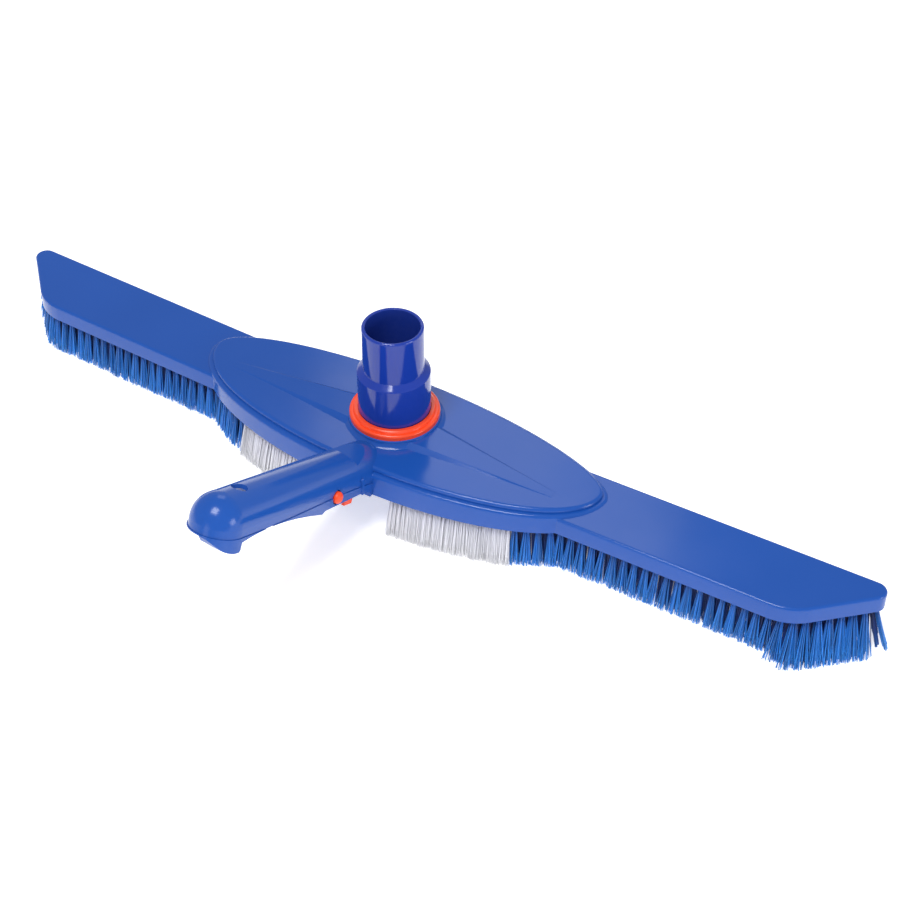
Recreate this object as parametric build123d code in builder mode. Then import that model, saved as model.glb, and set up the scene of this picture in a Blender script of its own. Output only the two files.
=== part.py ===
"""Manual pool vacuum head with brush wings, a swivel hose spigot and a snap-in pole handle.

Millimetres, +Z up. The origin lies on the hose spigot's axis, in the plane of the bristle tips.
+X runs along the wings and -Y towards the pole handle.
"""

import os
from math import cos, radians, sin, tan

from build123d import *

os.makedirs("parts", exist_ok=True)

# ---- driving dimensions -------------------------------------------------------------------
bristle_length = 23.4
shell_bottom = 23.0
wing_top = 32.5
wall = 2.4

wing_half_width = 20.4
wing_sweep = 0.0233
wing_front_corner_x = 231.0
wing_back_corner_x = 274.5
front_corner_radius = 28.0
back_corner_radius = 6.0
least_corner_radius = 1.5
wing_edge_radius = 1.6

lens_half_length = 122.5
lens_axis_y = 6.0
lens_front_reach = 48.8
lens_back_reach = 29.5
lens_crown = 38.6
lens_crown_drop = 3.0
lens_step_height = 2.4
lens_step_inset = 3.0
lower_rim_radius = 1.8
upper_rim_radius = 1.7

ridge_start_x = 18.0
ridge_end_x = 99.0
ridge_rise = 2.6
ridge_tip_rise = 0.35
ridge_sink = 0.3

boss_radius = 24.3
boss_top = 42.0
boss_flare_radius = 28.5
boss_bore_radius = 21.8
duct_radius = 18.5
shoulder_z = 31.5

hose_small_radius = 15.9
hose_large_radius = 19.0
journal_radius = 18.7
spigot_bore_radius = 14.0
spigot_flange_radius = 21.4
spigot_step_z = 70.2
spigot_step_top_z = 72.4
spigot_top_z = 98.2
lip_radius = 1.2
lip_chamfer = 0.6
spigot_flange_thickness = 2.8
washer_thickness = 1.2
running_gap = 0.06
end_float = 0.3

ring_tier_top = 46.4
ring_flange_top = 44.9
ring_radius = 23.7
ring_tier_radius = 21.7
ring_edge_radius = 1.2

handle_radius = 13.6
handle_wall = 2.2
handle_angle = 25.4
handle_nose_y = -145.0
handle_nose_z = 81.5
handle_length = 126.0
handle_cavity_length = 93.0
clip_slot_end_u = 104.5
clip_slot_top_n = 3.2
root_block_y = -36.0
root_block_depth = 17.0
root_block_height = 10.0
cheek_depth = 11.0
flank_step = 0.45
flank_rib_y = -51.2
flank_rib_z = 30.5
flank_rib_height = 9.5
flank_rib_thickness = 1.8
lug_floor_n = -4.8
lug_length = 21.2
hose_clearance_half_width = 17.0
hose_clearance_radius = 50.0

button_u = 81.0
button_n = -2.0
button_radius = 3.1
button_hole_radius = 3.8
pole_hole_u = 12.0
pole_hole_radius = 4.0

clip_bend_u = 36.0
clip_bend_radius = 4.1
clip_strip = 1.8
clip_low = -5.0
clip_high = 1.0
clip_hinge_u = 38.0
clip_peg_radius = 2.0
clip_peg_length = 17.0
clip_elbow_u = 78.0
clip_elbow_x = 9.0
finger_tab_u = 102.5
finger_tab_x = 9.1
finger_tab_length = 7.0
finger_tab_low = -11.2
finger_tab_height = 6.9
button_dome_radius = 1.9
button_length = 6.6
clip_hinge_x = clip_bend_radius - clip_strip / 2

plate_bottom = bristle_length
plate_thickness = 3.2
plate_inset = wall + 0.3
plate_top = plate_bottom + plate_thickness
mouth_chamfer = 1.5

screw_radius = 1.5
screw_head_radius = 2.9
screw_length = 8.0
screw_slot_length = 3.4
screw_slot_width = 0.7
screw_slot_depth = 0.9
pilot_radius = 1.55
post_radius = 3.6
screw_spots = [
    (side * x, y) for x, y in ((46, -24), (46, 18), (150, 3.5), (228, 6.0)) for side in (-1, 1)
]

tuft_inset = 2.9
tuft_band = 4.6
colour_change_left_x = 77.0
colour_change_right_x = 86.0
handle_gap_x = 21.5
tuft_gap = 0.3


# ---- plan outlines ------------------------------------------------------------------------
def wing_plan(inset):
    """Both swept wings as one strip with raked, rounded ends, pulled in by `inset`."""

    def front(x):
        return (x, -wing_half_width + wing_sweep * abs(x))

    def back(x):
        return (x, wing_half_width + wing_sweep * abs(x))

    corners = [
        front(-wing_front_corner_x),
        front(0),
        front(wing_front_corner_x),
        back(wing_back_corner_x),
        back(0),
        back(-wing_back_corner_x),
    ]
    with BuildSketch() as plan:
        with BuildLine():
            Polyline(*corners, close=True)
        make_face()
        if inset:
            offset(amount=-inset, kind=Kind.INTERSECTION)
        by_reach = plan.vertices().sort_by(lambda v: abs(v.X))
        fillet(by_reach[2:4], radius=front_corner_radius - inset)
        by_reach = plan.vertices().sort_by(lambda v: abs(v.X))
        fillet(by_reach[-2:], radius=max(least_corner_radius, back_corner_radius - inset))
    return plan.sketch


def lens_plan(inset):
    """The lens-shaped centre: a deep half ellipse to the front and a shallow one behind."""
    reach = lens_half_length - inset
    with BuildSketch() as plan:
        with BuildLine():
            EllipticalCenterArc(
                (0, lens_axis_y), reach, lens_front_reach - inset, start_angle=180, arc_size=180
            )
            EllipticalCenterArc(
                (0, lens_axis_y), reach, lens_back_reach - inset, start_angle=0, arc_size=180
            )
        make_face()
    return plan.sketch


def head_plan(inset):
    """The whole head seen from above."""
    wings, lens = wing_plan(inset), lens_plan(inset)
    with BuildSketch() as plan:
        add(wings)
        add(lens)
    return plan.sketch


def crowned_lens(inset, crown, bottom):
    """A lens-shaped block with an arched top, highest at the middle."""
    plan = lens_plan(inset)
    with BuildPart() as block:
        with BuildSketch(Plane.XY.offset(bottom)):
            add(plan)
        extrude(amount=crown - bottom + 1)
        with BuildSketch(Plane.XZ):
            with BuildLine():
                end_z = crown - lens_crown_drop
                ThreePointArc((-lens_half_length, end_z), (0, crown), (lens_half_length, end_z))
                Polyline(
                    (lens_half_length, end_z),
                    (lens_half_length, 0),
                    (-lens_half_length, 0),
                    (-lens_half_length, end_z),
                )
            make_face()
        extrude(amount=lens_half_length, both=True, mode=Mode.INTERSECT)
    return block


# ---- handle frame -------------------------------------------------------------------------
# u runs from the centre of the nose down the handle towards the head, n is its upward normal.
tilt = radians(handle_angle)
nose = Vector(0, handle_nose_y, handle_nose_z)
along = Vector(0, cos(tilt), -sin(tilt))
normal = Vector(0, sin(tilt), cos(tilt))
section_plane = Plane(origin=nose, x_dir=(-1, 0, 0), z_dir=along)
side_plane = Plane(origin=nose, x_dir=along, z_dir=(1, 0, 0))
top_plane = Plane(origin=nose, x_dir=along, z_dir=normal)


def barrel(radius, depth, start, length):
    """A round-topped, straight-sided bar along the handle."""
    with BuildPart() as bar:
        with BuildSketch(section_plane.offset(start)):
            with BuildLine():
                Line((-radius, -depth), (-radius, 0))
                ThreePointArc((-radius, 0), (0, radius), (radius, 0))
                Polyline((radius, 0), (radius, -depth), (-radius, -depth))
            make_face()
        extrude(amount=length)
    return bar


def nosed_barrel(radius, depth, length):
    """The bar closed by a domed nose."""
    bar = barrel(radius, depth, 0, length)
    with BuildPart() as form:
        add(bar.part)
        with BuildSketch(top_plane.offset(-depth)):
            Circle(radius)
        extrude(amount=depth)
        with Locations(top_plane):
            Sphere(radius)
    return form


# ---- private blocks of the body shell -----------------------------------------------------
lens_lower = crowned_lens(0, lens_crown - lens_step_height, shell_bottom)
lens_upper = crowned_lens(lens_step_inset, lens_crown, shell_bottom)
lower_rim = lens_lower.faces().sort_by(Axis.Z)[-1].edges()
upper_rim = lens_upper.faces().sort_by(Axis.Z)[-1].edges()
lens_lower_solid = fillet(lower_rim, radius=lower_rim_radius)
lens_upper_solid = fillet(upper_rim, radius=upper_rim_radius)

with BuildPart() as lower_edge_cut:
    with BuildSketch(side_plane):
        with BuildLine():
            Polyline((-20, -4.6), (-14.2, -4.8))
            Spline((-14.2, -4.8), (-12.4, -6.8), (-9.6, -9.4), (-5.5, -10.9), (0.2, -11.2))
            Polyline((0.2, -11.2), (1.0, -10.4), (1.2, -6.4))
            Spline((1.2, -6.4), (11, -4.9), (37, -4.4), (56, -6.4), (69.5, -8.6))
            Polyline((69.5, -8.6), (71.9, -7.2), (104, -5.4), (handle_length, -7.2))
            Polyline((handle_length, -7.2), (handle_length, -40), (-20, -40), (-20, -4.6))
        make_face()
    extrude(amount=2 * handle_radius, both=True)
    with BuildSketch(top_plane.offset(lug_floor_n)):
        with Locations((-20, 0)):
            Rectangle(lug_length, 20, align=(Align.MIN, Align.MIN))
    extrude(amount=-20)

with BuildPart() as flank_band:
    with BuildSketch(side_plane):
        with BuildLine():
            Polyline((-20, -4.2), (21.6, -4.2), (45, -3.5), (87, -1.5), (handle_length, -1.5))
            Polyline((handle_length, -1.5), (handle_length, -20), (-20, -20), (-20, -4.2))
        make_face()
    extrude(amount=2 * handle_radius, both=True)

handle_outer = nosed_barrel(handle_radius, cheek_depth + 1, handle_length)
handle_inner = nosed_barrel(handle_radius - handle_wall, 20, handle_cavity_length)
with BuildPart() as flanks:
    add(nosed_barrel(handle_radius + flank_step, cheek_depth + 1, handle_length).part)
    add(flank_band.part, mode=Mode.INTERSECT)

with BuildPart() as handle:
    add(handle_outer.part)
    add(flanks.part)
    add(lower_edge_cut.part, mode=Mode.SUBTRACT)
    with BuildSketch(Plane.XY.offset(shell_bottom)):
        with Locations((0, root_block_y)):
            Rectangle(2 * handle_radius, root_block_depth)
    extrude(amount=root_block_height)
    with BuildSketch(Plane.XY.offset(flank_rib_z)):
        with Locations((0, flank_rib_y)):
            Rectangle(2 * (handle_radius + 2 * flank_step), flank_rib_thickness)
    extrude(amount=flank_rib_height)
    with BuildSketch(Plane.XY.offset(shell_bottom)):
        with Locations((0, root_block_y)):
            Rectangle(4 * handle_radius, 3 * root_block_depth)
    extrude(amount=-4 * handle_radius, mode=Mode.SUBTRACT)
    add(handle_inner.part, mode=Mode.SUBTRACT)
    with BuildSketch(section_plane.offset(handle_cavity_length - 1)):
        with Locations((0, clip_slot_top_n)):
            Rectangle(2 * (handle_radius - handle_wall), 30, align=(Align.CENTER, Align.MAX))
    extrude(amount=clip_slot_end_u - handle_cavity_length + 1, mode=Mode.SUBTRACT)
    with Locations(top_plane * Location((clip_bend_u, 0, clip_low))):
        Cylinder(clip_peg_radius, clip_peg_length, align=(Align.CENTER, Align.CENTER, Align.MIN))
    with Locations(top_plane * Location((pole_hole_u, 0, 5))):
        Cylinder(
            pole_hole_radius,
            12,
            align=(Align.CENTER, Align.CENTER, Align.MIN),
            mode=Mode.SUBTRACT,
        )
    with Locations(side_plane * Location((button_u, button_n, 0))):
        Cylinder(button_hole_radius, 4 * handle_radius, mode=Mode.SUBTRACT)

with BuildPart() as hose_clearance:
    with BuildSketch(Plane.YZ):
        with BuildLine():
            Polyline((-26, 41.7), (-52, 46.6), (-52, 70), (-26, 70), close=True)
        make_face()
    extrude(amount=hose_clearance_half_width, both=True)
    Cylinder(hose_clearance_radius, 200, mode=Mode.INTERSECT)

roof = lens_crown - wall - 0.4
cavity_lens = crowned_lens(lens_step_inset + wall, roof, shell_bottom - 1)
cavity_wings = wing_plan(wall)
with BuildPart() as cavity:
    with BuildSketch(Plane.XY.offset(shell_bottom - 1)):
        add(cavity_wings)
    extrude(amount=wing_top - wall - shell_bottom + 1)
    add(cavity_lens.part)
    Cylinder(boss_radius, 200, mode=Mode.SUBTRACT)
    with Locations(*[(x, y, plate_top + 20) for x, y in screw_spots]):
        Cylinder(post_radius, 40, mode=Mode.SUBTRACT)

plate_pocket_plan = head_plan(wall)

# ---- body shell: wings, lens, ridges, boss and handle in one moulding ----------------------
wing_outline = wing_plan(0)
with BuildPart() as wing_slab:
    with BuildSketch(Plane.XY.offset(shell_bottom)):
        add(wing_outline)
    extrude(amount=wing_top - shell_bottom)
    fillet(wing_slab.edges().group_by(Axis.Z)[-1], radius=wing_edge_radius)


def ridge_section(x, half_base, half_top, centre_y, foot_z, rise):
    """Trapezoid across the spine at station x."""
    with BuildSketch(Plane.YZ.offset(x)) as section:
        with BuildLine():
            Polyline(
                (centre_y - half_base, foot_z - 2),
                (centre_y - half_base, foot_z),
                (centre_y - half_top, foot_z + rise),
                (centre_y + half_top, foot_z + rise),
                (centre_y + half_base, foot_z),
                (centre_y + half_base, foot_z - 2),
                close=True,
            )
        make_face()
    return section.sketch


def crown_height(x):
    """Height of the lens top along its length."""
    return lens_crown - lens_crown_drop * (x / lens_half_length) ** 2


def spine_ridge(side):
    """Ridge that runs from the boss and fades out before the lens tip."""
    root_foot = crown_height(ridge_start_x) - ridge_sink
    tip_foot = crown_height(ridge_end_x) - ridge_sink
    root = ridge_section(side * ridge_start_x, 13.0, 9.0, -6.0, root_foot, ridge_rise)
    tip = ridge_section(side * ridge_end_x, 3.4, 2.0, -7.0, tip_foot, ridge_tip_rise)
    with BuildPart() as ridge:
        add(root)
        add(tip)
        loft(ruled=True)
    return ridge


ridges = [spine_ridge(-1), spine_ridge(1)]

with BuildPart() as body_shell:
    add(wing_slab.part)
    add(lens_lower_solid)
    add(lens_upper_solid)
    for ridge in ridges:
        add(ridge.part)
    with BuildSketch(Plane.XZ):
        with BuildLine():
            Polyline((0, shell_bottom + 4), (boss_flare_radius, shell_bottom + 4))
            Line((boss_flare_radius, shell_bottom + 4), (boss_flare_radius, lens_crown - 0.8))
            Spline(
                (boss_flare_radius, lens_crown - 0.8),
                (boss_radius + 0.9, lens_crown + 0.9),
                (boss_radius, boss_top - 0.6),
                tangents=((-1, 0.15), (0, 1)),
            )
            Polyline((boss_radius, boss_top - 0.6), (boss_radius - 0.6, boss_top), (0, boss_top))
            Line((0, boss_top), (0, shell_bottom + 4))
        make_face()
    revolve(axis=Axis.Z)
    add(handle.part)
    add(hose_clearance.part, mode=Mode.SUBTRACT)
    add(cavity.part, mode=Mode.SUBTRACT)
    with BuildSketch(Plane.XY.offset(shell_bottom - 1)):
        add(plate_pocket_plan)
    extrude(amount=plate_top - shell_bottom + 1, mode=Mode.SUBTRACT)
    with BuildSketch(Plane.XY.offset(shell_bottom - 1)):
        Circle(duct_radius)
    extrude(amount=40, mode=Mode.SUBTRACT)
    with BuildSketch(Plane.XY.offset(shoulder_z)):
        Circle(boss_bore_radius)
    extrude(amount=30, mode=Mode.SUBTRACT)
    with BuildSketch(Plane.XY.offset(plate_top - 1)):
        with Locations(*screw_spots):
            Circle(pilot_radius)
    extrude(amount=screw_length - plate_thickness + 1.5, mode=Mode.SUBTRACT)

# ---- base plate that carries the tufts ------------------------------------------------------
plate_plan = head_plan(plate_inset)
with BuildPart() as base_plate:
    with BuildSketch(Plane.XY.offset(plate_bottom)):
        add(plate_plan)
    extrude(amount=plate_thickness)
    with BuildSketch(Plane.XY.offset(plate_bottom)):
        Circle(duct_radius)
    extrude(amount=plate_thickness, mode=Mode.SUBTRACT)
    mouth = base_plate.edges().filter_by(GeomType.CIRCLE).group_by(Axis.Z)[0]
    chamfer(mouth.sort_by(lambda e: abs(e.radius - duct_radius))[0], length=mouth_chamfer)
    with Locations(*[Location((x, y, plate_bottom), (180, 0, 0)) for x, y in screw_spots]):
        CounterSinkHole(pilot_radius, screw_head_radius + 0.1, plate_thickness)

with BuildPart() as base_screws:
    with BuildSketch(Plane.XY.offset(plate_bottom)):
        with Locations(*screw_spots):
            Circle(screw_radius)
    extrude(amount=screw_length)
    for x, y in screw_spots:
        with Locations((x, y, plate_bottom)):
            Cone(
                screw_head_radius,
                screw_radius,
                screw_head_radius - screw_radius,
                align=(Align.CENTER, Align.CENTER, Align.MIN),
            )
    with BuildSketch(Plane.XY.offset(plate_bottom)):
        with Locations(*screw_spots):
            Rectangle(screw_slot_length, screw_slot_width)
            Rectangle(screw_slot_width, screw_slot_length)
    extrude(amount=screw_slot_depth, mode=Mode.SUBTRACT)

# ---- swivel hose spigot, its orange ring and wear washer --------------------------------------
washer_top = shoulder_z + washer_thickness
flange_bottom = washer_top + end_float
flange_top = flange_bottom + spigot_flange_thickness
sleeve_bottom = flange_top + end_float

with BuildPart() as hose_spigot:
    with BuildSketch(Plane.XZ):
        with BuildLine():
            Polyline(
                (spigot_bore_radius, flange_bottom),
                (spigot_flange_radius, flange_bottom),
                (spigot_flange_radius, flange_top),
                (journal_radius, flange_top),
                (journal_radius, ring_tier_top + 0.2),
                (hose_large_radius, ring_tier_top + 0.5),
                (hose_large_radius, spigot_step_z - 0.6),
                (hose_large_radius - 0.6, spigot_step_z),
                (hose_small_radius, spigot_step_top_z),
                (hose_small_radius, spigot_top_z - lip_radius),
            )
            RadiusArc(
                (hose_small_radius, spigot_top_z - lip_radius),
                (hose_small_radius - lip_radius, spigot_top_z),
                -lip_radius,
            )
            Polyline(
                (hose_small_radius - lip_radius, spigot_top_z),
                (spigot_bore_radius + lip_chamfer, spigot_top_z),
                (spigot_bore_radius, spigot_top_z - lip_chamfer),
                (spigot_bore_radius, flange_bottom),
            )
        make_face()
    revolve(axis=Axis.Z)

with BuildPart() as swivel_ring:
    with BuildSketch(Plane.XZ):
        with BuildLine():
            inner = journal_radius + running_gap
            sleeve = boss_bore_radius - 0.05
            Polyline(
                (inner, sleeve_bottom),
                (sleeve, sleeve_bottom),
                (sleeve, boss_top),
                (ring_radius, boss_top),
                (ring_radius, ring_flange_top - ring_edge_radius),
            )
            RadiusArc(
                (ring_radius, ring_flange_top - ring_edge_radius),
                (ring_radius - ring_edge_radius, ring_flange_top),
                -ring_edge_radius,
            )
            Polyline(
                (ring_radius - ring_edge_radius, ring_flange_top),
                (ring_tier_radius, ring_flange_top),
                (ring_tier_radius - 0.3, ring_tier_top - 0.5),
                (ring_tier_radius - 0.9, ring_tier_top),
                (inner + 0.5, ring_tier_top),
                (inner, ring_tier_top - 0.5),
                (inner, sleeve_bottom),
            )
        make_face()
    revolve(axis=Axis.Z)

with BuildPart() as wear_washer:
    with BuildSketch(Plane.XY.offset(shoulder_z)):
        Circle(boss_bore_radius - 0.15)
        Circle(duct_radius + 0.1, mode=Mode.SUBTRACT)
    extrude(amount=washer_top - shoulder_z)

# ---- snap clip inside the handle ---------------------------------------------------------------
with BuildPart() as clip_bend:
    with BuildSketch(top_plane.offset(clip_low)):
        with Locations((clip_bend_u, 0)):
            Circle(clip_bend_radius)
            Circle(clip_bend_radius - clip_strip, mode=Mode.SUBTRACT)
        with Locations((clip_bend_u + clip_bend_radius, 0)):
            Rectangle(2 * clip_bend_radius, 3 * clip_bend_radius, mode=Mode.SUBTRACT)
        with Locations((clip_bend_u + 0.8, clip_hinge_x), (clip_bend_u + 0.8, -clip_hinge_x)):
            Rectangle(1.8, clip_strip)
    extrude(amount=clip_high - clip_low)


def clip_arm(side):
    """One sprung arm with its round button and finger tab; side is +1 for the +X arm."""
    near = clip_hinge_x - clip_strip / 2
    flip = -side
    with BuildPart() as arm:
        with BuildSketch(top_plane.offset(clip_low)):
            with BuildLine():
                Polyline(
                    (clip_hinge_u, flip * near),
                    (clip_elbow_u, flip * clip_elbow_x),
                    (finger_tab_u, flip * finger_tab_x),
                    (finger_tab_u, flip * (finger_tab_x + clip_strip)),
                    (clip_elbow_u, flip * (clip_elbow_x + clip_strip)),
                    (clip_hinge_u, flip * (near + clip_strip)),
                    close=True,
                )
            make_face()
        extrude(amount=clip_high - clip_low)
        with BuildSketch(top_plane.offset(finger_tab_low)):
            with Locations(
                (finger_tab_u - finger_tab_length / 2, flip * (finger_tab_x + clip_strip / 2))
            ):
                Rectangle(finger_tab_length, clip_strip)
        extrude(amount=finger_tab_height)
        with BuildSketch(side_plane.offset(side * (clip_elbow_x + clip_strip / 3))):
            with Locations((button_u, button_n)):
                Circle(button_radius)
        extrude(amount=side * button_length)
        tip = arm.faces().sort_by(Axis.X)[-1 if side > 0 else 0]
        fillet(tip.edges(), radius=button_dome_radius)
    return arm


clip_arm_left = clip_arm(-1)
clip_arm_right = clip_arm(1)

# ---- bristle bands -----------------------------------------------------------------------------
band_outer = head_plan(tuft_inset)
band_inner = head_plan(tuft_inset + tuft_band)


def bristle_band(x_low, x_high, y_low, y_high):
    """Stretch of the perimeter brush inside a box on the plan."""
    with BuildPart() as band:
        with BuildSketch():
            add(band_outer)
            add(band_inner, mode=Mode.SUBTRACT)
            with Locations(((x_low + x_high) / 2, (y_low + y_high) / 2)):
                Rectangle(x_high - x_low, y_high - y_low, mode=Mode.INTERSECT)
        extrude(amount=bristle_length)
    return band


far = 300
left, right = -colour_change_left_x, colour_change_right_x
blue_bristles_left = bristle_band(-far, left - tuft_gap, -far, far)
blue_bristles_right = bristle_band(right + tuft_gap, far, -far, far)
white_bristles_front_left = bristle_band(left, -handle_gap_x, -far, 0)
white_bristles_front_right = bristle_band(handle_gap_x, right, -far, 0)
white_bristles_back = bristle_band(left, right, 0, far)

# ---- export ------------------------------------------------------------------------------------
pieces = {
    "body_shell": body_shell,
    "base_plate": base_plate,
    "base_screws": base_screws,
    "hose_spigot": hose_spigot,
    "swivel_ring": swivel_ring,
    "wear_washer": wear_washer,
    "clip_bend": clip_bend,
    "clip_arm_left": clip_arm_left,
    "clip_arm_right": clip_arm_right,
    "blue_bristles_left": blue_bristles_left,
    "blue_bristles_right": blue_bristles_right,
    "white_bristles_front_left": white_bristles_front_left,
    "white_bristles_front_right": white_bristles_front_right,
    "white_bristles_back": white_bristles_back,
}
for name, piece in pieces.items():
    piece.part.label = name
    export_step(piece.part, f"parts/{name}.step")
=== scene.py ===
"""Looks of the pool vacuum head: moulded plastics, brush tufts, studio floor, lights, camera.

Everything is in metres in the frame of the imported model. MM turns millimetres into metres.
"""

import math
import random

import bpy
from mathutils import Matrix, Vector


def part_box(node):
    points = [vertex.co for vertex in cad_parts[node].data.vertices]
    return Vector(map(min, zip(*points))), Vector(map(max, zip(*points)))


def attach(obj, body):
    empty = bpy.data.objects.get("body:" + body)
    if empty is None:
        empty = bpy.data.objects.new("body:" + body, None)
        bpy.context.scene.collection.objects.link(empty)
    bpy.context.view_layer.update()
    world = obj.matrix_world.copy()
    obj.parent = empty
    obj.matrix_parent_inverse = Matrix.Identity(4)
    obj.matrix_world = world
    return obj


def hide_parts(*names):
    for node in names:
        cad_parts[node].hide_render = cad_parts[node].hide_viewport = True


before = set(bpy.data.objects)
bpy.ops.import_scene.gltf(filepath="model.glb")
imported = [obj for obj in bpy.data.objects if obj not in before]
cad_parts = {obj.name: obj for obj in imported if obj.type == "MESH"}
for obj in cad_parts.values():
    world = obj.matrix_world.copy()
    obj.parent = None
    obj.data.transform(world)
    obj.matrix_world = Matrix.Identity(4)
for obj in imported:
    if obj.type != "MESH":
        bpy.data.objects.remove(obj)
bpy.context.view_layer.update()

MM = 0.001

# ---- where the tufts stand ----------------------------------------------------------------
OUTER_ROW_INSET = 1.9 * MM
INNER_ROW_INSET = 3.9 * MM
TUFT_PITCH = 5.9 * MM
INNER_TUFT_PITCH = TUFT_PITCH / 3
WHITE_PITCH = 2.4 * MM
INNER_ROW_OFFSET = 0.5  # share of a pitch by which the inner rows are staggered
TURN_SPAN = 6.0 * MM  # to each side of a tuft, to take the row's direction from
COLOUR_CHANGE_LEFT_X = 77.0 * MM
COLOUR_CHANGE_RIGHT_X = 86.0 * MM
HANDLE_GAP_X = 21.5 * MM

# ---- how the ends of the wings splay ------------------------------------------------------
RIGHT_END_SPLAY = 9.0 * MM
LEFT_END_SPLAY = 1.0 * MM
RIGHT_END_PULL = 0.5  # turns the splay of the right end towards the handle's side
CORNER_START_X = 198.0 * MM
CORNER_BLEND = 26.0 * MM
TURNED_X = 0.5  # outward x from which a tuft counts as standing on the wing's end
BACK_EASING = 0.4  # share of the splay that is lost by the time the row faces sideways
BACK_EASING_RANGE = 0.65  # outward y over which that share is lost, ending at zero

# ---- the shape of a tuft ------------------------------------------------------------------
TUFT_RADIUS = 1.1 * MM
TUFT_LEAN_JITTER = 0.25 * MM
TUFT_DRIFT_JITTER = 0.4 * MM
FAN_DOUBLING_LEAN = 12.0 * MM  # extra lean at which a tuft fans twice as wide
STRAND_JITTER = 0.15 * MM
STRAND_TILT = 0.5 * MM  # how much further the outermost strands of a tuft lean
BOW_MEAN = -0.1 * MM
BOW_JITTER = 0.12 * MM
BOW_ALONG = 0.25 * MM
STRAND_LEVELS = 4
STRAND_SIDES = 3
STRAND_TAPER = 0.18

# ---- surface detail, as noise features per metre ------------------------------------------
TINT_FLOW = 9.0
EDGE_SCUFFS = 260.0
POLISH_CHANGE = 35.0
MOULD_SKIN = 700.0
MOULD_WAVES = 28.0
NYLON_STREAKS = 1500.0
TURNING_MARKS = 2200.0
FLOOR_TOOTH = 40.0
NOISE_LOW, NOISE_HIGH = 0.15, 0.85  # the range that a noise mostly stays in

# ---- moulded plastic ----------------------------------------------------------------------
DARK_FLOW, LIGHT_FLOW = 0.94, 1.06  # shares of the colour that its flow varies between
EDGE_FROM, EDGE_FULL = 0.52, 0.60  # pointiness from which an edge is rubbed, and fully so
RUBBED_KEEP, RUBBED_LIFT = 0.6, 0.28  # share of the colour left where rubbed, and added grey
POLISHED, DULLED = 0.8, 1.25  # shares of the roughness that it varies between

RANDOM_SEED = 11
random.seed(RANDOM_SEED)


# ---- materials ----------------------------------------------------------------------------
class Nodes:
    """A material's node tree with short calls for adding and joining nodes."""

    def __init__(self, name):
        self.material = bpy.data.materials.new(name)
        self.material.use_nodes = True
        self.tree = self.material.node_tree
        self.tree.nodes.clear()
        self.shader = self.add("ShaderNodeBsdfPrincipled")
        out = self.add("ShaderNodeOutputMaterial")
        self.join(self.shader, "BSDF", out, "Surface")

    def add(self, kind, **values):
        node = self.tree.nodes.new(kind)
        for key, value in values.items():
            setattr(node, key, value)
        return node

    def join(self, source, output, target, socket):
        self.tree.links.new(source.outputs[output], target.inputs[socket])

    def set(self, node, **values):
        for key, value in values.items():
            node.inputs[key.replace("_", " ")].default_value = value

    def noise(self, scale, detail=3.0, roughness=0.5):
        """Noise over the piece's own position, in features per metre."""
        place = self.add("ShaderNodeTexCoord")
        noise = self.add("ShaderNodeTexNoise")
        self.set(noise, Scale=scale, Detail=detail, Roughness=roughness)
        self.join(place, "Object", noise, "Vector")
        return noise

    def ramp(self, source, output, stops):
        """Colour ramp over another node's value, from (position, colour) stops."""
        ramp = self.add("ShaderNodeValToRGB")
        elements = ramp.color_ramp.elements
        ramp.color_ramp.interpolation = "EASE"
        elements[0].position, elements[0].color = stops[0]
        elements[1].position, elements[1].color = stops[-1]
        for position, colour in stops[1:-1]:
            elements.new(position).color = colour
        self.join(source, output, ramp, "Fac")
        return ramp

    def rough(self, noise, low, high):
        """Lets a noise vary the shader's roughness between two values."""
        remap = self.add("ShaderNodeMapRange", interpolation_type="SMOOTHERSTEP")
        self.set(remap, From_Min=NOISE_LOW, From_Max=NOISE_HIGH, To_Min=low, To_Max=high)
        self.join(noise, "Fac", remap, "Value")
        self.join(remap, "Result", self.shader, "Roughness")

    def bumps(self, *layers):
        """Adds layers of (noise, strength, depth) on top of each other as the normal."""
        below = None
        for noise, strength, depth in layers:
            bump = self.add("ShaderNodeBump")
            self.set(bump, Strength=strength, Distance=depth)
            self.join(noise, "Fac", bump, "Height")
            if below is not None:
                self.join(below, "Normal", bump, "Normal")
            below = bump
        self.join(below, "Normal", self.shader, "Normal")


def grey(value):
    return (value, value, value, 1.0)


def shade(colour, factor):
    return tuple(c * factor for c in colour) + (1.0,)


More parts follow.
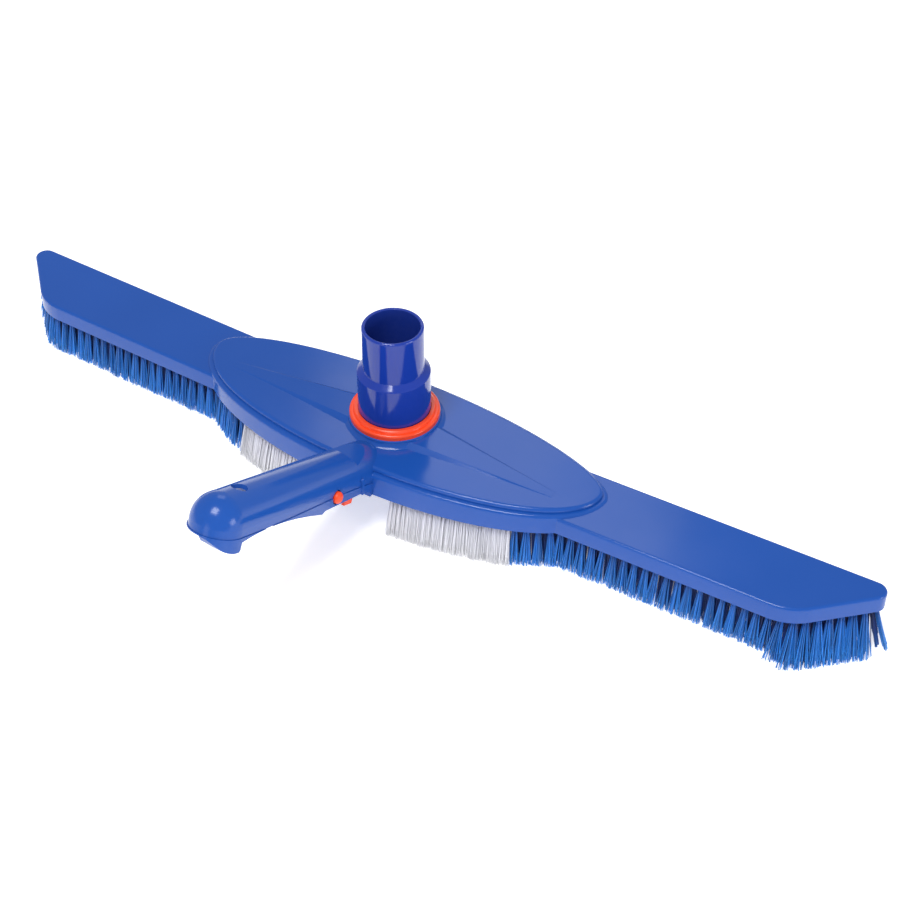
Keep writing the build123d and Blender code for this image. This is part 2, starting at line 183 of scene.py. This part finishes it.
def moulded_plastic(name, colour, rough, specular=0.5, wear=0.06):
    """Injection-moulded plastic: flow variation, faint skin texture, lightly rubbed edges."""
    m = Nodes(name)
    darker, lighter = shade(colour, DARK_FLOW), shade(colour, LIGHT_FLOW)
    flow = m.noise(TINT_FLOW, detail=2.0)
    tint = m.ramp(flow, "Fac", [(NOISE_LOW, darker), (NOISE_HIGH, lighter)])
    edges = m.add("ShaderNodeNewGeometry")
    rubbed = m.ramp(edges, "Pointiness", [(EDGE_FROM, grey(0.0)), (EDGE_FULL, grey(1.0))])
    scuffs = m.noise(EDGE_SCUFFS, detail=4.0, roughness=0.6)
    scuffed = m.add("ShaderNodeMath", operation="MULTIPLY")
    m.join(rubbed, "Color", scuffed, 0)
    m.join(scuffs, "Fac", scuffed, 1)
    amount = m.add("ShaderNodeMath", operation="MULTIPLY")
    amount.inputs[1].default_value = wear
    m.join(scuffed, "Value", amount, 0)
    mix = m.add("ShaderNodeMix", data_type="RGBA")
    paled = [RUBBED_KEEP * c + RUBBED_LIFT for c in colour]
    mix.inputs["B"].default_value = shade(paled, 1.0)
    m.join(amount, "Value", mix, "Factor")
    m.join(tint, "Color", mix, "A")
    m.join(mix, "Result", m.shader, "Base Color")
    m.rough(m.noise(POLISH_CHANGE), rough * POLISHED, rough * DULLED)
    skin = m.noise(MOULD_SKIN, detail=2.0)
    waves = m.noise(MOULD_WAVES, detail=1.0)
    m.bumps((skin, 0.04, 0.05 * MM), (waves, 0.06, 0.3 * MM))
    m.set(m.shader, Specular_IOR_Level=specular)
    return m.material


def bristle_nylon(name, root, middle, tip, darkest, lightest):
    """Nylon strands, darker towards the root and paler at the tips, no two quite alike."""
    m = Nodes(name)
    place = m.add("ShaderNodeTexCoord")
    split = m.add("ShaderNodeSeparateXYZ")
    m.join(place, "Object", split, "Vector")
    height = m.add("ShaderNodeMapRange")
    m.set(height, From_Min=0.0, From_Max=root_z)
    m.join(split, "Z", height, "Value")
    stops = [(0.0, tip + (1.0,)), (0.45, middle + (1.0,)), (1.0, root + (1.0,))]
    along = m.ramp(height, "Result", stops)
    strand = m.add("ShaderNodeAttribute", attribute_name="strand")
    vary = m.add("ShaderNodeMapRange")
    m.set(vary, To_Min=darkest, To_Max=lightest)
    m.join(strand, "Fac", vary, "Value")
    tone = m.add("ShaderNodeMix", data_type="RGBA", blend_type="MULTIPLY")
    tone.inputs["Factor"].default_value = 1.0
    m.join(along, "Color", tone, "A")
    m.join(vary, "Result", tone, "B")
    m.join(tone, "Result", m.shader, "Base Color")
    streaks = m.noise(NYLON_STREAKS, detail=2.0)
    m.rough(streaks, 0.34, 0.50)
    m.bumps((streaks, 0.15, 0.04 * MM))
    return m.material


def brushed_screw(name):
    """Stainless screw heads with fine turning marks."""
    m = Nodes(name)
    marks = m.noise(TURNING_MARKS)
    tone = m.ramp(marks, "Fac", [(0.35, grey(0.42)), (0.65, grey(0.62))])
    m.join(tone, "Color", m.shader, "Base Color")
    m.rough(marks, 0.24, 0.38)
    m.bumps((marks, 0.2, 0.03 * MM))
    m.set(m.shader, Metallic=1.0)
    return m.material


def floor_paint(name):
    """Plain pale floor with a barely visible tooth, partly self-lit as in a cut-out photo."""
    m = Nodes(name)
    tooth = m.noise(FLOOR_TOOTH, detail=4.0)
    tone = m.ramp(tooth, "Fac", [(0.3, grey(0.90)), (0.7, grey(0.93))])
    m.join(tone, "Color", m.shader, "Base Color")
    m.rough(tooth, 0.75, 0.9)
    m.set(m.shader, Emission_Color=grey(1.0), Emission_Strength=0.55)
    return m.material


SHELL_BLUE = (0.011, 0.078, 0.37)
SPIGOT_BLUE = (0.008, 0.036, 0.31)
ORANGE = (0.93, 0.062, 0.008)
WASHER_WHITE = (0.78, 0.78, 0.76)

clip_plastic = moulded_plastic("clip_plastic", ORANGE, rough=0.42, wear=0.12)
finish_of = {
    "body_shell": moulded_plastic("shell_plastic", SHELL_BLUE, rough=0.16, specular=0.33),
    "base_plate": moulded_plastic("plate_plastic", SHELL_BLUE, rough=0.30),
    "base_screws": brushed_screw("screw_metal"),
    "hose_spigot": moulded_plastic("spigot_plastic", SPIGOT_BLUE, rough=0.10),
    "swivel_ring": moulded_plastic("ring_plastic", ORANGE, rough=0.30, wear=0.12),
    "wear_washer": moulded_plastic("washer_plastic", WASHER_WHITE, rough=0.5, wear=0.02),
    "clip_bend": clip_plastic,
    "clip_arm_left": clip_plastic,
    "clip_arm_right": clip_plastic,
}
for node, material in finish_of.items():
    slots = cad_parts[node].data.materials
    slots.clear()
    slots.append(material)


# ---- the tuft line ------------------------------------------------------------------------
def boundary_loops(faces):
    """Closed loops of points along the edges that only one of these faces has."""
    uses = {}
    for face in faces:
        for a, b in zip(face, face[1:] + face[:1]):
            uses.setdefault(frozenset((a, b)), []).append((a, b))
    following = dict(pairs[0] for pairs in uses.values() if len(pairs) == 1)
    loops = []
    while following:
        start, point = following.popitem()
        loop = [start]
        while point != start:
            loop.append(point)
            point = following.pop(point)
        loops.append([Vector(p) for p in loop])
    return loops


def step_lengths(loop):
    return [(b - a).length for a, b in zip(loop, loop[1:] + loop[:1])]


def plate_outline():
    """Outline of the base plate's underside: the longest loop round its lowest faces."""
    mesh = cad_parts["base_plate"].data
    flat = root_z + 0.01 * MM
    faces = []
    for polygon in mesh.polygons:
        corners = [mesh.vertices[i].co for i in polygon.vertices]
        if all(c.z < flat for c in corners):
            faces.append([(round(c.x, 7), round(c.y, 7)) for c in corners])
    return max(boundary_loops(faces), key=lambda loop: sum(step_lengths(loop)))


class Row:
    """A closed line of tufts at an inset from an outline, walked by distance."""

    def __init__(self, outline, inset):
        following = outline[1:] + outline[:1]
        area = sum(a.x * b.y - a.y * b.x for a, b in zip(outline, following))
        self.turn = 1 if area > 0 else -1
        self.points = []
        for i, point in enumerate(outline):
            tangent = (following[i] - outline[i - 1]).normalized()
            inward = Vector((-tangent.y, tangent.x)) * self.turn
            self.points.append(point + inward * inset)
        self.steps = step_lengths(self.points)
        self.length = sum(self.steps)

    def at(self, distance):
        """The point at a distance along the row."""
        distance %= self.length
        for i, step in enumerate(self.steps):
            if distance <= step and step > 0:
                break
            distance -= step
        a, b = self.points[i], self.points[(i + 1) % len(self.points)]
        return a + (b - a).normalized() * distance


root_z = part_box("base_plate")[0].z
outline = plate_outline()
outer_row = Row(outline, OUTER_ROW_INSET)
inner_row = Row(outline, INNER_ROW_INSET)


def node_at(point):
    """Name of the bristle node that holds a point of the row, or None in the handle gap."""
    if point.x > COLOUR_CHANGE_RIGHT_X:
        return "blue_bristles_right"
    if point.x < -COLOUR_CHANGE_LEFT_X:
        return "blue_bristles_left"
    if point.y > 0:
        return "white_bristles_back"
    if abs(point.x) < HANDLE_GAP_X:
        return None
    return "white_bristles_front_right" if point.x > 0 else "white_bristles_front_left"


# ---- tufts --------------------------------------------------------------------------------
class StrandMesh:
    """Collects thin tapered strands, each with its own shade value."""

    def __init__(self):
        self.vertices = []
        self.faces = []
        self.shades = []

    def strand(self, root, tip, bow, radius):
        """One tapered strand from root to tip that bows out at its middle."""
        turn = random.uniform(0, 2 * math.pi)
        tone = random.random()
        first = len(self.vertices)
        for level in range(STRAND_LEVELS + 1):
            t = level / STRAND_LEVELS
            centre = root.lerp(tip, t) + bow * (4 * t * (1 - t))
            width = radius * (1.0 - STRAND_TAPER * t)
            for side in range(STRAND_SIDES):
                angle = turn + side * 2 * math.pi / STRAND_SIDES
                offset = Vector((math.cos(angle), math.sin(angle), 0)) * width
                self.vertices.append(centre + offset)
                self.shades.append(tone)
        for level in range(STRAND_LEVELS):
            low = first + STRAND_SIDES * level
            high = low + STRAND_SIDES
            for side in range(STRAND_SIDES):
                other = (side + 1) % STRAND_SIDES
                self.faces.append((low + side, low + other, high + other, high + side))
        last = first + STRAND_SIDES * STRAND_LEVELS
        self.faces.append(tuple(reversed(range(first, first + STRAND_SIDES))))
        self.faces.append(tuple(range(last, last + STRAND_SIDES)))

    def piece(self, name, material):
        mesh = bpy.data.meshes.new(name)
        mesh.from_pydata(self.vertices, [], self.faces)
        shade_layer = mesh.attributes.new("strand", "FLOAT", "POINT")
        shade_layer.data.foreach_set("value", self.shades)
        mesh.materials.append(material)
        mesh.shade_smooth()
        made = bpy.data.objects.new(name, mesh)
        bpy.context.scene.collection.objects.link(made)
        return made


class Brush:
    """What one kind of tuft is made of; lengths come in millimetres."""

    def __init__(self, strands, radius, fan, splay, ragged):
        self.strands = strands
        self.radius = radius * MM
        self.fan = fan * MM
        self.splay = splay * MM
        self.ragged = ragged * MM


def smooth(t):
    t = min(1.0, max(0.0, t))
    return t * t * (3 - 2 * t)


def lean_out(point, outward, splay):
    """How far and which way the tips splay, most round the worn right-hand end."""
    near_end = smooth((abs(point.x) - CORNER_START_X) / CORNER_BLEND)
    turned = smooth(abs(outward.x) / TURNED_X)
    past_front = smooth((outward.y + BACK_EASING_RANGE) / BACK_EASING_RANGE)
    easing = 1.0 - BACK_EASING * past_front
    right = point.x > 0
    flare = RIGHT_END_SPLAY if right else LEFT_END_SPLAY
    pull = RIGHT_END_PULL * near_end * turned if right else 0.0
    heading = Vector((outward.x, outward.y - pull, 0)).normalized()
    return splay + flare * near_end * turned * easing, heading


def plant_tuft(strands, point, tangent, outward, brush):
    """One round bundle of strands set at a point, fanning along the row."""
    lean, heading = lean_out(point, outward, brush.splay)
    lean += random.gauss(0, TUFT_LEAN_JITTER)
    extra_lean = max(0.0, lean - brush.splay)
    fan = brush.fan * (1.0 + extra_lean / FAN_DOUBLING_LEAN)
    drift = random.gauss(0, TUFT_DRIFT_JITTER)
    up = Vector((0, 0, 1))
    along = Vector((tangent.x, tangent.y, 0))
    out = Vector((outward.x, outward.y, 0))
    for _ in range(brush.strands):
        angle = random.uniform(0, 2 * math.pi)
        reach = math.sqrt(random.random())
        a, b = reach * math.cos(angle), reach * math.sin(angle)
        foot = Vector((point.x, point.y, root_z)) + (along * a + out * b) * TUFT_RADIUS
        shift = along * (a * fan + drift + random.gauss(0, STRAND_JITTER))
        shift += heading * (lean + b * STRAND_TILT + random.gauss(0, STRAND_JITTER))
        drop = root_z - abs(random.gauss(0, brush.ragged))
        bow = out * random.gauss(BOW_MEAN, BOW_JITTER)
        bow -= along * (a * random.uniform(0.0, BOW_ALONG))
        strands.strand(foot, foot + shift - up * drop, bow, brush.radius)


def plant_row(sets, row, pitch, offset, brush, wanted):
    """Tufts at an even pitch along a row, kept only where `wanted` says they belong."""
    total = round(row.length / pitch)
    for i in range(total):
        distance = (i + offset) * row.length / total
        point = row.at(distance)
        node = node_at(point)
        if node is not None and wanted(node):
            before, after = row.at(distance - TURN_SPAN), row.at(distance + TURN_SPAN)
            tangent = (after - before).normalized()
            outward = Vector((tangent.y, -tangent.x)) * row.turn
            plant_tuft(sets[node], point, tangent, outward, brush)


def is_blue(node):
    return node.startswith("blue")


def is_white(node):
    return node.startswith("white")


blue_nylon = bristle_nylon(
    "blue_nylon",
    root=(0.008, 0.11, 0.50),
    middle=(0.016, 0.19, 0.66),
    tip=(0.035, 0.29, 0.84),
    darkest=0.55,
    lightest=1.25,
)
# Painted shade: a much darker copy of the blue nylon for the inner blue row, standing in for
# the shadow under the head seen between the outer tufts.
painted_shade_nylon = bristle_nylon(
    "painted_shade_nylon",
    root=(0.002, 0.010, 0.09),
    middle=(0.004, 0.040, 0.24),
    tip=(0.012, 0.13, 0.50),
    darkest=0.6,
    lightest=1.2,
)
white_nylon = bristle_nylon(
    "white_nylon",
    root=(0.76, 0.76, 0.88),
    middle=(0.90, 0.90, 0.96),
    tip=(0.95, 0.95, 0.98),
    darkest=0.86,
    lightest=1.03,
)

blue_outer = Brush(strands=32, radius=0.27, fan=2.5, splay=3.7, ragged=0.08)
blue_inner = Brush(strands=20, radius=0.27, fan=0.9, splay=2.4, ragged=0.2)
white_outer = Brush(strands=34, radius=0.20, fan=0.9, splay=5.6, ragged=0.35)
white_inner = Brush(strands=30, radius=0.20, fan=0.9, splay=3.8, ragged=0.35)

bristle_nodes = [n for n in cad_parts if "bristles" in n]
front_rows = {n: StrandMesh() for n in bristle_nodes}
back_rows = {n: StrandMesh() for n in bristle_nodes}
plant_row(front_rows, outer_row, TUFT_PITCH, 0.0, blue_outer, is_blue)
plant_row(back_rows, inner_row, INNER_TUFT_PITCH, INNER_ROW_OFFSET, blue_inner, is_blue)
plant_row(front_rows, outer_row, WHITE_PITCH, 0.0, white_outer, is_white)
plant_row(back_rows, inner_row, WHITE_PITCH, INNER_ROW_OFFSET, white_inner, is_white)

for node in bristle_nodes:
    blue = is_blue(node)
    front_nylon = blue_nylon if blue else white_nylon
    # The inner blue rows take the darker nylon, which is painted shade; the inner white rows
    # keep the plain white nylon.
    back_nylon = painted_shade_nylon if blue else white_nylon
    outer = front_rows[node].piece(node + "_outer_tufts", front_nylon)
    inner = back_rows[node].piece(node + "_inner_tufts", back_nylon)
    for tufts in (outer, inner):
        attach(tufts, "head")
        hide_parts(node)


# ---- studio -------------------------------------------------------------------------------
FLOOR_HALF_WIDTH = 6.0
FLOOR_Z = -0.3 * MM

# Each softbox: place, target, width and depth, then power in watts
SOFTBOXES = {
    "overhead_softbox": ((0.04, -0.55, 1.45), (0, 0, 0), (0.6, 0.6), 15),
    "right_softbox": ((1.45, 0.0, 0.32), (0, 0, 0.03), (0.55, 0.45), 5),
    "front_softbox": ((-0.15, -1.5, 0.28), (0, 0, 0.03), (0.45, 0.4), 1.0),
    "back_reflector": ((-0.46, 0.88, 0.98), (0.075, -0.015, 0.04), (0.48, 0.42), 1.2),
}
SKY_COLOUR = (0.93, 0.95, 1.0, 1)
SKY_STRENGTH = 0.5

CAMERA_AZIMUTH = math.radians(31.913)
CAMERA_ELEVATION = math.radians(41.331)
CAMERA_DISTANCE = 1020.98 * MM
CAMERA_TARGET = Vector((0, 54.384, -25.346)) * MM
CAMERA_LENS_MM = 72.26
CAMERA_SENSOR_MM = 36


def make_floor():
    """Large pale floor just under the bristle tips."""
    mesh = bpy.data.meshes.new("studio_floor")
    half, z = FLOOR_HALF_WIDTH, FLOOR_Z
    corners = [(-half, -half, z), (half, -half, z), (half, half, z), (-half, half, z)]
    mesh.from_pydata(corners, [], [(0, 1, 2, 3)])
    mesh.materials.append(floor_paint("floor_paint"))
    floor = bpy.data.objects.new("studio_floor", mesh)
    bpy.context.scene.collection.objects.link(floor)


def area_light(name, place, target, size, power):
    """Rectangular softbox aimed at a point."""
    data = bpy.data.lights.new(name, "AREA")
    data.shape = "RECTANGLE"
    data.size, data.size_y = size
    data.energy = power
    lamp = bpy.data.objects.new(name, data)
    lamp.location = place
    aim = Vector(target) - Vector(place)
    lamp.rotation_euler = aim.to_track_quat("-Z", "Y").to_euler()
    bpy.context.scene.collection.objects.link(lamp)


def make_world():
    world = bpy.data.worlds.new("studio")
    world.use_nodes = True
    background = world.node_tree.nodes["Background"]
    background.inputs["Color"].default_value = SKY_COLOUR
    background.inputs["Strength"].default_value = SKY_STRENGTH
    bpy.context.scene.world = world


def make_camera():
    """Camera at the photograph's angle, to the right of the handle and looking down."""
    level = math.cos(CAMERA_ELEVATION)
    back = Vector(
        (
            math.sin(CAMERA_AZIMUTH) * level,
            -math.cos(CAMERA_AZIMUTH) * level,
            math.sin(CAMERA_ELEVATION),
        )
    )
    data = bpy.data.cameras.new("camera")
    data.sensor_width = CAMERA_SENSOR_MM
    data.lens = CAMERA_LENS_MM
    data.clip_start, data.clip_end = 0.05, 20
    camera = bpy.data.objects.new("camera", data)
    camera.location = CAMERA_TARGET + back * CAMERA_DISTANCE
    camera.rotation_euler = (-back).to_track_quat("-Z", "Y").to_euler()
    bpy.context.scene.collection.objects.link(camera)
    bpy.context.scene.camera = camera


make_floor()
make_world()
for name, (place, target, size, power) in SOFTBOXES.items():
    area_light(name, place, target, size, power)
make_camera()
bpy.context.scene.view_settings.view_transform = "Standard"
